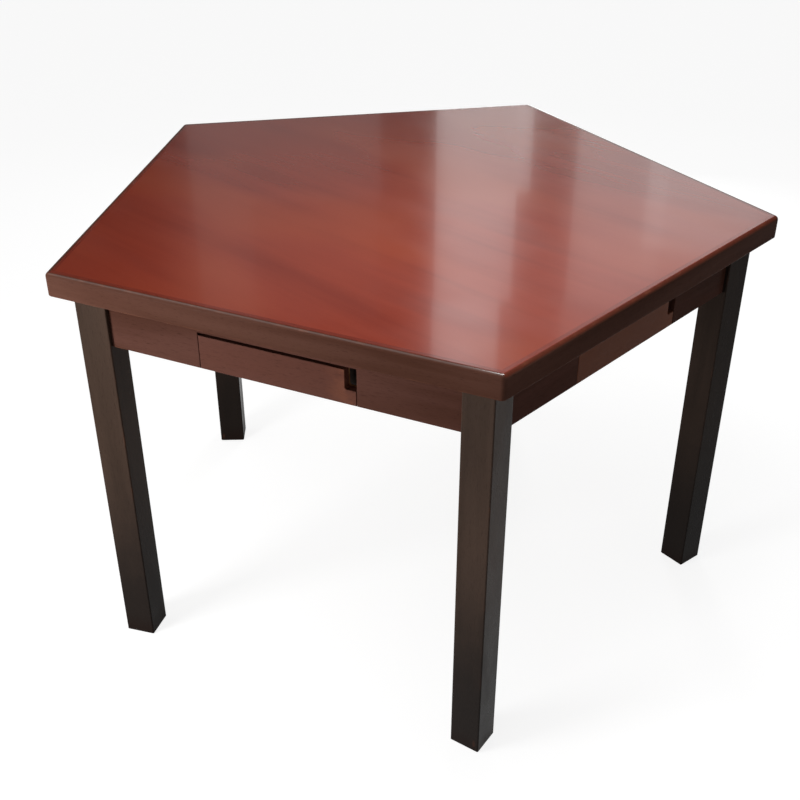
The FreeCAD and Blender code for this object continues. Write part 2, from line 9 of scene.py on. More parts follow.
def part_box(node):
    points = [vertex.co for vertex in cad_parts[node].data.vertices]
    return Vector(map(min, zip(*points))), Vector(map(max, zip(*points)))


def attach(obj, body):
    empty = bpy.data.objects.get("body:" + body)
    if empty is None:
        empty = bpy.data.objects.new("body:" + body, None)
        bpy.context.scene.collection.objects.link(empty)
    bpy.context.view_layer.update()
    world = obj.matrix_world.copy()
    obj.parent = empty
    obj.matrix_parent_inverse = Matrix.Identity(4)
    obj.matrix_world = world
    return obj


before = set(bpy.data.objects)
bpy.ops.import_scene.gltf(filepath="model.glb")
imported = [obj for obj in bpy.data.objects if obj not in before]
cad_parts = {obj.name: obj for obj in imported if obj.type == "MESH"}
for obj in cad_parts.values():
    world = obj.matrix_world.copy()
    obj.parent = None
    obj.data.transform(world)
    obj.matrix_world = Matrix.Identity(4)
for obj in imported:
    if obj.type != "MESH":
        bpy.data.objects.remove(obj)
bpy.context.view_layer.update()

# Looks of a five-sided games table with a drawer in each apron, laid out as an add-on.

bl_info = {
    "name": "Games table finish",
    "version": (1, 0, 0),
    "blender": (4, 5, 0),
    "location": "3D View > Sidebar > Games table",
    "description": "Lacquers, bare woods, screws and stage of a five-sided games table",
    "category": "Object",
}

SIDES = ("front", "right", "back_right", "back_left", "left")
CORNERS = ("front_right", "right", "back", "left", "front_left")
HANDS = {"left": -1, "right": 1}
SECTOR = math.tau / len(SIDES)
QUARTER = math.tau / 4
EIGHTH = math.tau / 8


def middle_of(node):
    """Middle of a CAD node's box."""
    low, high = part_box(node)
    return (low + high) / 2


# The middle axis of the table, on which the five legs centre.
AXIS_POINT = sum((middle_of(f"leg_{corner}") for corner in CORNERS), Vector()) / len(CORNERS)
AXIS_POINT.z = 0

# Heights, distances out from the middle axis, and half widths of the CAD's boards.
TABLE_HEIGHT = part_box("top_panel")[1].z
TOP_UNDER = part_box("top_panel")[0].z
LIPPING_OUT = AXIS_POINT.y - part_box("lipping_front")[0].y
APRON_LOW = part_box("apron_front")[0].z
APRON_BACK_OUT = AXIS_POINT.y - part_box("apron_front")[1].y
FACE_BACK_OUT = AXIS_POINT.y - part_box("front_drawer_face")[1].y
RUNNER_FRONT_OUT = AXIS_POINT.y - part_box("front_runner_left")[0].y
WALL_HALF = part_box("front_drawer_right_wall")[1].x
LEG_HALF = 0.027

# The right leg is painted darker as painted shade, and the front right one is polished brighter.
LEG_SHADE_SHARES = {"right": 0.55}
LEG_GLOSSES = {"front_right": 0.036}
LEG_GLOSS_USUAL = 0.018
# Heights between which the legs are painted darker downwards as painted shade, and between which their feet
# get scuffed.
LEG_SHADE_SPAN = (0.52, 0.14)
FOOT_SPAN = (0.075, 0.02)
# The right-hand drawer's face is painted lighter than its apron, as a painted reflection.
FACE_REFLECTION_SHARES = {"right": 0.42}
# Places along a drawer face between which it gets rubbed, towards its notch.
HANDLED_SPAN = (0.075, 0.116)
# In from a lipping's edge, where its red and its high gloss start, how far down the arris the red runs,
# and how much brown is in it there.
RIMS = {"front": (0.005, 0.001, 0.0025, 0.0), "right": (-0.004, 0.004, 0.0055, 0.7)}
RIM_USUAL = (0.007, 0.0065, 0.0025, 0.0)

# How much a finish mirrors. The lacquered sides are nearly matt, as in the photograph.
SIDE_GLOSS = 0.003
FACE_GLOSS = 0.012
BEECH_GLOSS = 0.15
WALL_GLOSS = 0.2
USUAL_GLOSS = 0.5
COAT_WEIGHT = 0.35
COAT_ROUGHNESS = 0.06
BARE_ROUGHNESS = 0.7
# Heights of the fine relief.
SMOOTH_RELIEF = 0.00006
LACQUER_RELIEF = 0.00008
WOOD_RELIEF = 0.0001
METAL_RELIEF = 0.00002

# Length of the stained front end of a runner, whose stain also paints shade into the drawer opening, and the
# part of it in which the stain fades out.
RUNNER_STAIN_AND_SHADE = 0.03
RUNNER_STAIN_AND_SHADE_FADE = 0.012
# The stain on a drawer wall's outer side, which also paints shade into the notch, starts to fade and ends
# this far behind the face.
WALL_STAIN_AND_SHADE = 0.035
WALL_STAIN_AND_SHADE_END = 0.075

# Small wood screws, as shares: the cone's end and the crown of the head's radius, an arm's half width of
# the cross's span, and the cross's floor of its mouth.
CONE_SHARE = 0.45
CROWN_SHARE = 0.94
ARM_SHARE = 0.1
CROSS_FLOOR_SHARE = 0.35
HEAD_FACETS = 28
# Each screw is turned further than the one before, and differently on each side.
SPIN_EACH = 0.7
SPIN_OF_TURN = 1.3
# Places of the two screws at an end of a corner block, as shares of its height.
BLOCK_SCREW_SHARES = (0.22, 0.78)
# A vertex this close to a face's plane belongs to the face.
FACE_SLACK = 0.0005

# The skylight shines from here towards the middle of the floor.
SKYLIGHT_PLACE = Vector((-0.32, -0.22, 0.92)) * 3
# Soft square lamps: name, power, side, place, and the point that each faces.
LAMPS = (
    ("side_lamp", 25, 0.6, (-0.95, -1.65, 0.6), (-0.1, -0.5, 0.5)),
    ("top_lamp", 7.8, 0.4, (0.3, -0.35, 1.6), (0.1, -0.1, 0.75)),
    ("back_lamp", 16, 0.6, (-0.6, 2.2, 0.6), (-0.1, 0.5, 0.5)),
)
# Tall window-like panels behind the table, mirrored in the top: name, first and last bearing to the right
# of the camera's, lowest and highest elevation, all in degrees and seen in the mirror, and brightness.
WINDOWS = (
    ("window_low", 1.9, 6.9, 15.0, 20.5, 0.92),
    ("window_middle", 1.9, 6.2, 20.5, 26.0, 1.2),
    ("window_high", 1.8, 5.6, 26.0, 34.0, 1.6),
    ("wide_low", 9.2, 20.0, 15.0, 20.5, 0.64),
    ("wide_middle", 9.2, 20.0, 20.5, 26.0, 0.66),
    ("wide_high", 9.0, 20.0, 26.0, 34.0, 0.36),
    ("wide_end", 13.0, 24.0, 17.0, 23.0, 0.42),
    ("veil_panel", 6.0, 14.0, 15.0, 34.0, 0.16),
    ("faint_low", -11.0, -1.0, 15.0, 21.0, 0.14),
    ("faint_high", -11.0, -1.2, 21.0, 27.0, 0.06),
    ("faint_stripe", -11.0, -8.0, 21.0, 36.0, 0.07),
)
WINDOW_DISTANCE = 5.0

# The camera sees this far.
CLIP_END = 100

# The backdrop is pale near the floor. The room over it is darker to the left of the camera, and also high
# up behind the table. Each edge is a range of how far a direction of length 1 reaches up, right or ahead.
CAMERA_RIGHT = (0.906, 0.4226, 0)
CAMERA_AHEAD = (-0.4226, 0.906, 0)
HORIZON_EDGE = (math.sin(math.radians(7)), math.sin(math.radians(13)))
LEFT_EDGE = (-0.22, -0.17)
LEFT_SHARE = 0.2
HIGH_EDGE = (0.44, 0.49)
AHEAD_EDGE = (0.55, 0.65)
HIGH_CUT = 0.85


def linear(red, green, blue):
    """Scene-linear colour from the 0 to 255 values of a display."""
    def one(value):
        share = value / 255
        return share / 12.92 if share <= 0.04045 else ((share + 0.055) / 1.055) ** 2.4
    return one(red), one(green), one(blue)


def side_turn(index):
    """Turn of a side about the table's middle axis, the front being 0."""
    return SECTOR * index


def corner_turn(index):
    """Turn of a corner, halfway between its two sides."""
    return SECTOR * (index + 0.5)


def side_seed(index):
    """Seed of a side's grain, which runs on from the apron through its drawer face."""
    return 11.2 + index * 3.7


class Wire:
    """A number that varies over a surface. Python's operators on it add Math nodes."""

    def __init__(self, finish, socket):
        self.finish = finish
        self.socket = socket

    def __add__(self, other):
        return self.finish.math("ADD", self, other)

    def __sub__(self, other):
        return self.finish.math("SUBTRACT", self, other)

    def __rsub__(self, other):
        return self.finish.math("SUBTRACT", other, self)

    def __mul__(self, other):
        return self.finish.math("MULTIPLY", self, other)

    def __abs__(self):
        return self.finish.math("ABSOLUTE", self)

    __radd__ = __add__


class Finish:
    """The node tree of one material or of the world."""

    def __init__(self, owner):
        owner.use_nodes = True
        self.owner = owner
        self.tree = owner.node_tree

    def node(self, kind, settings=None, inputs=None, output=0):
        """One node: its settings first, then the values or links of its sockets."""
        made = self.tree.nodes.new(kind)
        for name, value in (settings or {}).items():
            setattr(made, name, value)
        for key, value in (inputs or {}).items():
            socket = made.inputs[key]
            if isinstance(value, Wire):
                self.tree.links.new(value.socket, socket)
            elif socket.type == "RGBA" and len(value) == 3:
                socket.default_value = (*value, 1)
            else:
                socket.default_value = value
        return Wire(self, made.outputs[output])

    def math(self, operation, *values):
        """One Math node."""
        return self.node("ShaderNodeMath", {"operation": operation}, dict(enumerate(values)))

    def mix(self, share, first, second):
        """Colour between two others."""
        return self.node("ShaderNodeMix", {"data_type": "RGBA"}, {0: share, 6: first, 7: second}, output=2)

    def between(self, value, low, high, start=0.0, end=1.0):
        """Smooth step from start to end while a value goes from low to high."""
        settings = {"interpolation_type": "SMOOTHSTEP"}
        inputs = {"Value": value, "From Min": low, "From Max": high, "To Min": start, "To Max": end}
        return self.node("ShaderNodeMapRange", settings, inputs)

    def point(self, turn):
        """Coordinates from the middle axis: along a board at this turn, inwards through it, and up."""
        place = self.node("ShaderNodeTexCoord", output="Object")
        settings = {"operation": "SUBTRACT"}
        place = self.node("ShaderNodeVectorMath", settings, {0: place, 1: AXIS_POINT})
        settings = {"rotation_type": "Z_AXIS"}
        place = self.node("ShaderNodeVectorRotate", settings, {"Vector": place, "Angle": -turn})
        parts = self.node("ShaderNodeSeparateXYZ", inputs={0: place}).socket.node
        return [Wire(self, socket) for socket in parts.outputs]

    def toward(self, direction, way):
        """How far a direction reaches one way."""
        inputs = {0: direction, 1: way}
        return self.node("ShaderNodeVectorMath", {"operation": "DOT_PRODUCT"}, inputs, output=1)

    def noise(self, x, y, z, detail=3.0, rough=0.5, twist=0.0):
        """Cloudy value between 0 and 1 at a point whose axes are already scaled."""
        place = self.node("ShaderNodeCombineXYZ", inputs={0: x, 1: y, 2: z})
        inputs = {"Vector": place, "Scale": 1.0, "Detail": detail, "Roughness": rough, "Distortion": twist}
        return self.node("ShaderNodeTexNoise", inputs=inputs)

    def fleck(self, x, y, z):
        """Distance to the nearest of scattered points, whose axes are already scaled."""
        place = self.node("ShaderNodeCombineXYZ", inputs={0: x, 1: y, 2: z})
        return self.node("ShaderNodeTexVoronoi", inputs={"Vector": place, "Scale": 1.0, "Randomness": 1.0})

    def skin(self, colour, roughness, height, depth, gloss=USUAL_GLOSS, **others):
        """One surface shader with its pattern and its fine relief."""
        relief = self.node("ShaderNodeBump", inputs={"Height": height, "Distance": depth})
        inputs = {"Base Color": colour, "Roughness": roughness, "Normal": relief,
                  "Specular IOR Level": gloss, **others}
        return self.node("ShaderNodeBsdfPrincipled", inputs=inputs)

    def surface(self, colour, roughness, height, depth, gloss=USUAL_GLOSS, **others):
        """Material of one surface shader."""
        return self.done(self.skin(colour, roughness, height, depth, gloss, **others))

    def blend(self, share, first, second):
        """Material between two shaders."""
        return self.done(self.node("ShaderNodeMixShader", inputs={0: share, 1: first, 2: second}))

    def done(self, shader):
        """Joins a shader to the material's output."""
        self.tree.nodes.remove(self.tree.nodes["Principled BSDF"])
        self.tree.links.new(shader.socket, self.tree.nodes["Material Output"].inputs["Surface"])
        return self.owner


def new_finish(name):
    """Node tree of a new material."""
    return Finish(bpy.data.materials.new(name))


def dress(node, material):
    """Gives a CAD node its material."""
    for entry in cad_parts[node].material_slots:
        entry.material = material


def streaks(finish, along, across, deep, seed):
    """Tone of plain-sawn wood: long soft streaks, finer fibres, and broad clouds."""
    broad = finish.noise(along * 1.6 + seed, across * 21, deep * 21, 4, 0.55, 0.35)
    fibres = finish.noise(along * 7 + seed, across * 330, deep * 330, 2, 0.6)
    clouds = finish.noise(along * 2.1 + seed, across * 4.4, deep * 4.4, 2, 0.5)
    return broad, fibres, clouds


def pores(finish, along, across, deep, seed):
    """Short dark dashes along the grain, 0 on clear wood and 1 in a pore."""
    specks = finish.noise(along * 85 + seed, across * 1250, deep * 1250, 1, 0.5)
    return finish.between(specks, 0.6, 0.72)


def smears(finish, x, y, z, low, high):
    """Roughness between two values, as a cloth leaves it."""
    return finish.between(finish.noise(x, y, z, 3, 0.6, 0.4), 0.3, 0.7, low, high)


def lacquer_peel(finish, along, inward, up):
    """Faint waves of sprayed lacquer."""
    return finish.noise(along * 95, inward * 95, up * 95, 2, 0.4)


def bare_wood(finish, along, across, deep, seed, light, dark, flecked=False):
    """Planed, unlacquered wood with its rings, fibres and short rays."""
    broad, fibres, clouds = streaks(finish, along, across, deep, seed)
    rings = finish.math("SINE", across * 260 + deep * 90 + broad * 14 + seed)
    tone = finish.between(rings * 0.25 + clouds, 0.2, 0.85)
    skin = finish.mix(tone, light, dark)
    skin = finish.mix(fibres * 0.3, skin, dark)
    if flecked:
        rays = finish.noise(along * 210 + seed, across * 900, deep * 900, 1, 0.5)
        skin = finish.mix(finish.between(rays, 0.62, 0.7) * 0.45, skin, dark)
    return skin, fibres


def stained_wood(finish, colours, along, across, deep, seed, first, second, streak, red=0.0):
    """Stained wood between two browns, with darker fibres, pores and a share of red clouds."""
    broad, fibres, clouds = streaks(finish, along, across, deep, seed)
    pore = pores(finish, along, across, deep, seed)
    skin = finish.mix(finish.between(broad * 0.55 + clouds * 0.45, 0.34, 0.66), first, second)
    if red:
        skin = finish.mix(finish.between(clouds, 0.5, 0.72) * red, skin, colours.apron_red)
    skin = finish.mix(fibres * 0.25, skin, streak)
    return finish.mix(pore * 0.35, skin, colours.pore), fibres, pore


def half_bare(finish, colours, place, seed, skin, fibres, pore, rough, raw, gloss):
    """Material of a board that is lacquered outside and, where raw is 1, left as bare wood."""
    along, inward, up = place
    inside, _ = bare_wood(finish, along, up, inward, seed, colours.bare_light, colours.bare_dark)
    skin = finish.mix(raw, skin, inside)
    rough = rough * (1 - raw) + raw * BARE_ROUGHNESS
    return finish.surface(skin, rough, fibres * 0.35 * (1 + raw) - pore * 0.4, LACQUER_RELIEF, gloss)


def top_finish(colours):
    """Glossy red-brown lacquer over a stained panel, and a dull brown seal under it."""
    finish = new_finish("top_lacquer")
    along, across, up = finish.point(SECTOR - QUARTER)
    seed = 3.7
    broad, fibres, clouds = streaks(finish, along, across, up, seed)
    pore = pores(finish, along, across, up, seed)
    tone = finish.between(broad * 0.5 + clouds * 0.5, 0.25, 0.6)
    red = finish.mix(tone, colours.top_deep, colours.top_red)
    red = finish.mix(finish.between(clouds, 0.48, 0.7) * 0.6, red, colours.top_warm)
    red = finish.mix(fibres * 0.05, red, colours.top_deep)
    red = finish.mix(pore * 0.06, red, colours.pore)
    upper = finish.between(up, TABLE_HEIGHT - 0.004, TABLE_HEIGHT - 0.001)
    seal = finish.mix(finish.between(broad, 0.35, 0.65), colours.seal_dark, colours.seal)
    seal = finish.mix(pore * 0.5, seal, colours.pore)
    wipes = finish.noise(along * 5, across * 17, 0.0, 2, 0.5, 0.3)
    rubs = finish.noise(along * 11, across * 9, 4.0, 3, 0.55, 0.5)
    gloss = finish.between(wipes * 0.55 + rubs * 0.45, 0.35, 0.7, 0.15, 0.21)
    rough = gloss * upper + (1 - upper) * (0.55 + fibres * 0.15)
    peel = lacquer_peel(finish, along, across, up)
    height = peel * 0.02 * upper + (1 - pore) * (1 - upper) + fibres * (1 - upper)
    return finish.surface(finish.mix(upper, seal, red), rough, height, SMOOTH_RELIEF,
                          **{"Coat Weight": upper * COAT_WEIGHT, "Coat Roughness": COAT_ROUGHNESS})


def lipping_finish(colours, index):
    """Solid edge: the panel's red above, and a nearly matt brown on the side, rubbed at its arrises."""
    finish = new_finish(f"edge_lacquer_{SIDES[index]}")
    along, inward, up = finish.point(side_turn(index))
    seed = 5.3 + index * 2.9
    broad, fibres, clouds = streaks(finish, along, inward, up, seed)
    pore = pores(finish, along, inward, up, seed)
    tone = finish.between(broad * 0.6 + clouds * 0.4, 0.35, 0.65)
    brown = finish.mix(tone, colours.edge_deep, colours.edge_brown)
    red = finish.mix(finish.between(broad, 0.35, 0.65), colours.top_deep, colours.top_red)
    patchy = finish.noise(along * 26 + seed, 0.0, up * 60, 4, 0.6)
    rim, dull, drop, browned = RIMS.get(SIDES[index], RIM_USUAL)
    rounding = finish.between(inward, dull + 0.003 - LIPPING_OUT, dull - LIPPING_OUT)
    red = finish.mix(rounding * browned, red, colours.edge_deep)
    inner = finish.between(inward + patchy * 0.002, rim - LIPPING_OUT, rim + 0.004 - LIPPING_OUT)
    upper = finish.between(up, TABLE_HEIGHT - drop, TABLE_HEIGHT - drop / 3) * inner
    skin = finish.mix(upper, brown, red)
    lower = finish.between(up, TOP_UNDER + 0.004, TOP_UNDER + 0.0015)
    skin = finish.mix(lower * finish.between(patchy, 0.4, 0.62) * 0.12, skin, colours.worn_and_sheen)
    crest = finish.between(abs(up - (TABLE_HEIGHT - 0.0012)), 0.0016, 0.0003)
    skin = finish.mix(crest * finish.between(patchy, 0.45, 0.75) * 0.3, skin, colours.worn_and_sheen)
    skin = finish.mix(pore * 0.3, skin, colours.pore)
    skin = finish.mix(fibres * 0.2, skin, colours.edge_deep)
    rough = smears(finish, along * 14, inward * 14, up * 30, 0.18, 0.32)
    peel = lacquer_peel(finish, along, inward, up)
    matt = finish.skin(skin, rough, peel * 0.25 - pore * 0.2, SMOOTH_RELIEF, SIDE_GLOSS)
    glossy = finish.skin(skin, rough * 0.8, peel * 0.03, SMOOTH_RELIEF,
                         **{"Coat Weight": COAT_WEIGHT, "Coat Roughness": COAT_ROUGHNESS})
    polished = finish.between(up, TABLE_HEIGHT - 0.003, TABLE_HEIGHT - 0.0005)
    polished = polished * finish.between(inward, dull - LIPPING_OUT, dull + 0.0015 - LIPPING_OUT)
    return finish.blend(polished, matt, glossy)


def apron_finish(colours, index):
    """Brown lacquer outside, running over the lower edge, and bare wood on the inner side."""
    finish = new_finish(f"apron_lacquer_{SIDES[index]}")
    place = along, inward, up = finish.point(side_turn(index))
    seed = side_seed(index)
    skin, fibres, pore = stained_wood(finish, colours, along, up, inward, seed, colours.apron_deep,
                                      colours.apron_brown, colours.apron_deep, 0.35)
    patchy = finish.noise(along * 30 + seed, inward * 40, up * 45, 4, 0.6)
    arris = finish.between(up, APRON_LOW + 0.0022, APRON_LOW + 0.0004)
    skin = finish.mix(arris * finish.between(patchy, 0.42, 0.66) * 0.3, skin, colours.worn_and_sheen)
    rough = smears(finish, along * 9, inward * 9, up * 26, 0.26, 0.4)
    raw = finish.between(inward + patchy * 0.004, -APRON_BACK_OUT - 0.004, -APRON_BACK_OUT - 0.001)
    return half_bare(finish, colours, place, seed, skin, fibres, pore, rough, raw, SIDE_GLOSS)


def face_finish(colours, index):
    """Drawer face: the apron's lacquer, a little redder, rubbed beside its notch, its back left bare."""
    finish = new_finish(f"drawer_face_lacquer_{SIDES[index]}")
    place = along, inward, up = finish.point(side_turn(index))
    seed = side_seed(index)
    skin, fibres, pore = stained_wood(finish, colours, along, up, inward, seed, colours.apron_brown,
                                      colours.apron_red, colours.apron_deep)
    patchy = finish.noise(along * 30 + seed, inward * 40, up * 45, 4, 0.6)
    handled = finish.between(along, *HANDLED_SPAN) * finish.between(patchy, 0.3, 0.7)
    skin = finish.mix(handled * 0.25, skin, colours.worn_and_sheen)
    # Painted reflection: the right-hand face is lighter.
    skin = finish.mix(FACE_REFLECTION_SHARES.get(SIDES[index], 0.0), skin, colours.worn_and_sheen)
    rough = smears(finish, along * 16, inward * 9, up * 26, 0.24, 0.38)
    raw = finish.between(inward + patchy * 0.003, -FACE_BACK_OUT - 0.004, -FACE_BACK_OUT - 0.001)
    return half_bare(finish, colours, place, seed, skin, fibres, pore, rough, raw, FACE_GLOSS)


def leg_finish(colours, index):
    """Brown lacquer with upright grain, painted shade darkening it downwards, rubbed at the arrises, scuffed
    at the foot.
    """
    corner = CORNERS[index]
    finish = new_finish(f"leg_lacquer_{corner}")
    turn = corner_turn(index) + EIGHTH
    wide, deep, up = finish.point(turn)
    seed = 23.1 + index * 4.3
    skin, fibres, pore = stained_wood(finish, colours, up, wide, deep, seed, colours.leg_deep,
                                      colours.leg_brown, colours.leg_deep)
    spot = middle_of(f"leg_{corner}") - AXIS_POINT
    spot.rotate(Matrix.Rotation(-turn, 3, "Z"))
    nearest = finish.math("MINIMUM", abs(wide - spot.x), abs(deep - spot.y))
    patchy = finish.noise(wide * 30, deep * 30, up * 22 + seed, 4, 0.6)
    arris = finish.between(nearest, LEG_HALF - 0.0032, LEG_HALF - 0.0012)
    skin = finish.mix(arris * finish.between(patchy, 0.5, 0.7) * 0.12, skin, colours.worn_and_sheen)
    # Painted shade: the legs get darker downwards.
    skin = finish.mix(finish.between(up + patchy * 0.12, *LEG_SHADE_SPAN) * 0.9, skin, colours.dark_shade_and_stain)
    # Painted shade: the right leg is darker all over.
    skin = finish.mix(LEG_SHADE_SHARES.get(corner, 0.0), skin, colours.dark_shade_and_stain)
    foot = finish.between(up + patchy * 0.05, *FOOT_SPAN)
    skin = finish.mix(foot * 0.45, skin, colours.pore)
    knocks = finish.fleck(wide * 45, deep * 45, up * 16 + seed)
    skin = finish.mix(foot * finish.between(knocks, 0.16, 0.08) * 0.12, skin, colours.worn_and_sheen)
    rough = smears(finish, wide * 20, deep * 20, up * 7, 0.2, 0.36) + foot * 0.15
    gloss = LEG_GLOSSES.get(corner, LEG_GLOSS_USUAL)
    return finish.surface(skin, rough, fibres * 0.3 - pore * 0.4, LACQUER_RELIEF, gloss)


def beech_finish(colours, name, turn, is_runner, seed):
    """Planed beech with short dark rays. Runners carry the opening's stain on their front ends, darkened
    further as painted shade in the drawer opening.
    """
    finish = new_finish(name)
    along, inward, up = finish.point(turn)
    grain, across = (inward, along) if is_runner else (along, inward)
    skin, fibres = bare_wood(finish, grain, across, up, seed, colours.beech, colours.beech_dark, True)
    if is_runner:
        start = RUNNER_STAIN_AND_SHADE - RUNNER_FRONT_OUT
        mist = finish.noise(along * 90, inward * 30, up * 90) * 0.02
        # Stain and painted shade on the runner's front end, in the drawer opening.
        stain_and_shade = finish.between(inward + mist, start, start - RUNNER_STAIN_AND_SHADE_FADE)
        skin = finish.mix(stain_and_shade, skin, colours.dark_shade_and_stain)
    return finish.surface(skin, 0.6 + fibres * 0.15, fibres, WOOD_RELIEF, BEECH_GLOSS)


def wall_finish(colours, index):
    """Drawer walls of pale wood, with the face's stain over the front ends of their outer sides, which also
    paints shade into the notch.
    """
    finish = new_finish(f"drawer_wall_wood_{SIDES[index]}")
    along, inward, up = finish.point(side_turn(index))
    skin, fibres = bare_wood(finish, inward, along, up, 31 + index, colours.poplar, colours.poplar_dark)
    mist = finish.noise(along * 120, inward * 60, up * 120, 3, 0.6) * 0.03
    # Overspray of stain on the walls' front ends, also painting the notch's shade.
    sprayed_and_shaded = finish.between(inward + mist, WALL_STAIN_AND_SHADE_END - FACE_BACK_OUT, WALL_STAIN_AND_SHADE - FACE_BACK_OUT)
    outer = finish.between(abs(along), WALL_HALF - 0.002, WALL_HALF - 0.0005)
    skin = finish.mix(sprayed_and_shaded * (outer * 0.9 + 0.1), skin, colours.leg_deep)
    return finish.surface(skin, 0.55 + fibres * 0.15, fibres, WOOD_RELIEF, WALL_GLOSS)


def back_finish(colours, index):
    """Drawer back of the walls' wood, its grain across the drawer."""
    finish = new_finish(f"drawer_back_wood_{SIDES[index]}")
    along, inward, up = finish.point(side_turn(index))
    skin, fibres = bare_wood(finish, along, inward, up, 37 + index, colours.poplar, colours.poplar_dark)
    return finish.surface(skin, 0.55 + fibres * 0.15, fibres, WOOD_RELIEF)


def bottom_finish(colours, index):
    """Thin plywood: broad rotary-cut figure on its faces, and plies on its edges."""
    finish = new_finish(f"drawer_bottom_plywood_{SIDES[index]}")
    along, inward, up = finish.point(side_turn(index))
    low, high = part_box(f"{SIDES[index]}_drawer_bottom")
    thickness = high.z - low.z
    bend = finish.noise(along * 2.2 + index, inward * 9, 0.0, 3, 0.5, 0.6)
    figure = finish.math("SINE", bend * 60 + inward * 40)
    fibres = finish.noise(along * 8, inward * 420, up * 420, 2, 0.6)
    skin = finish.mix(finish.between(figure, -1.0, 1.0) * 0.5, colours.birch, colours.birch_dark)
    skin = finish.mix(fibres * 0.35, skin, colours.birch_dark)
    plies = finish.math("SINE", (up - low.z) * (math.tau * 2.5 / thickness))
    off_middle = abs(up - (low.z + high.z) / 2)
    rim = finish.between(off_middle, thickness / 2 - 0.0003, thickness / 2 - 0.0008)
    skin = finish.mix(rim * finish.between(plies, -0.3, 0.3) * 0.5, skin, colours.birch_dark)
    return finish.surface(skin, 0.5 + fibres * 0.15, fibres, SMOOTH_RELIEF)


def zinc_finish(colours):
    """Bright zinc plate, clouded and faintly scratched."""
    finish = new_finish("zinc_plate")
    x, y, z = finish.point(0)
    clouds = finish.noise(x * 340, y * 340, z * 340, 3, 0.6)
    scratches = finish.noise(x * 2600, y * 900, z * 300, 1, 0.5)
    skin = finish.mix(finish.between(clouds, 0.35, 0.65), colours.zinc, colours.zinc_dark)
    rough = finish.between(clouds * 0.6 + scratches * 0.4, 0.35, 0.65, 0.24, 0.46)
    return finish.surface(skin, rough, scratches, METAL_RELIEF, Metallic=1.0)


def colour(name, description, red, green, blue):
    """Property that holds a colour, given as a display shows it."""
    return FloatVectorProperty(name=name, description=description, default=linear(red, green, blue),
                               subtype="COLOR", min=0, max=1)


def length(name, description, metres):
    """Property that holds a length."""
    return FloatProperty(name=name, description=description, default=metres, unit="LENGTH", min=0)


def number(name, description, value, least=0):
    """Property that holds a plain number."""
    return FloatProperty(name=name, description=description, default=value, min=least)


def angle(name, description, degrees):
    """Property that holds an angle."""
    return FloatProperty(name=name, description=description, default=math.radians(degrees), subtype="ANGLE")


class TableColours(bpy.types.PropertyGroup):
    """Colours of the finishes and woods."""

    top_red: colour("Top red", "Main colour of the top's lacquer", 141, 55, 37)
    top_warm: colour("Top warm", "Warmer clouds in the top", 152, 66, 40)
    top_deep: colour("Top deep", "Darker streaks in the top", 120, 42, 28)
    edge_brown: colour("Edge brown", "Side of the lippings", 97, 66, 56)
    edge_deep: colour("Edge deep", "Darker streaks in the lippings", 74, 46, 36)
    apron_brown: colour("Apron brown", "Main colour of the aprons", 93, 62, 54)
    apron_red: colour("Apron red", "Redder parts of aprons and drawer faces", 94, 59, 50)
    apron_deep: colour("Apron deep", "Darker streaks in the aprons", 70, 43, 34)
    leg_brown: colour("Leg brown", "Main colour of the legs", 75, 59, 50)
    leg_deep: colour("Leg deep", "Darker streaks in the legs", 54, 42, 35)
    # Painted shade on the lower legs and on the right leg, and the stain with painted shade on the runners'
    # front ends.
    dark_shade_and_stain: colour("Leg dark", "Lower ends of the legs", 30, 26, 24)
    pore: colour("Pore", "Pores, seams and grime", 28, 14, 10)
    # Lacquer rubbed thin, and also the painted reflection on the right-hand drawer face.
    worn_and_sheen: colour("Worn", "Lacquer rubbed thin", 150, 92, 66)
    seal: colour("Seal", "Seal under the top", 112, 78, 56)
    seal_dark: colour("Seal dark", "Darker streaks under the top", 88, 58, 40)
    bare_light: colour("Bare wood", "Unlacquered inner sides", 176, 140, 104)
    bare_dark: colour("Bare wood dark", "Rings of the bare wood", 140, 102, 70)
    beech: colour("Beech", "Runners and corner blocks", 204, 166, 126)
    beech_dark: colour("Beech dark", "Rings and rays of the beech", 166, 120, 82)
    poplar: colour("Drawer wood", "Drawer walls and backs", 214, 188, 152)
    poplar_dark: colour("Drawer wood dark", "Rings of the drawer wood", 186, 152, 112)
    birch: colour("Plywood", "Drawer bottoms", 212, 180, 140)
    birch_dark: colour("Plywood dark", "Figure and plies of the drawer bottoms", 172, 130, 86)
    zinc: colour("Zinc", "Screws, bolts and nuts", 196, 198, 200)
    zinc_dark: colour("Zinc dark", "Clouds in the zinc", 150, 152, 156)
    floor: colour("Floor", "Plain floor", 144, 144, 144)


class TableSizes(bpy.types.PropertyGroup):
    """Sizes, places and number of the small wood screws."""

    head: length("Head", "Width of a screw's head", 0.0085)
    rise: length("Rise", "Height of a head over the wood", 0.0004)
    sink: length("Sink", "Depth of a head under the wood", 0.003)
    recess: length("Recess", "Span of the cross in a head", 0.0048)
    recess_depth: length("Recess depth", "Depth of the cross", 0.0022)
    block_inset: length("Block inset", "Screw to the end of a corner block", 0.02)
    runner_inset: length("Runner inset", "Screw to the end of a runner", 0.025)
    runner_side: length("Runner side", "Screw to the outer side of a runner", 0.0108)
    screws_each: IntProperty(name="Screws", description="Screws in each runner", default=3, min=1)


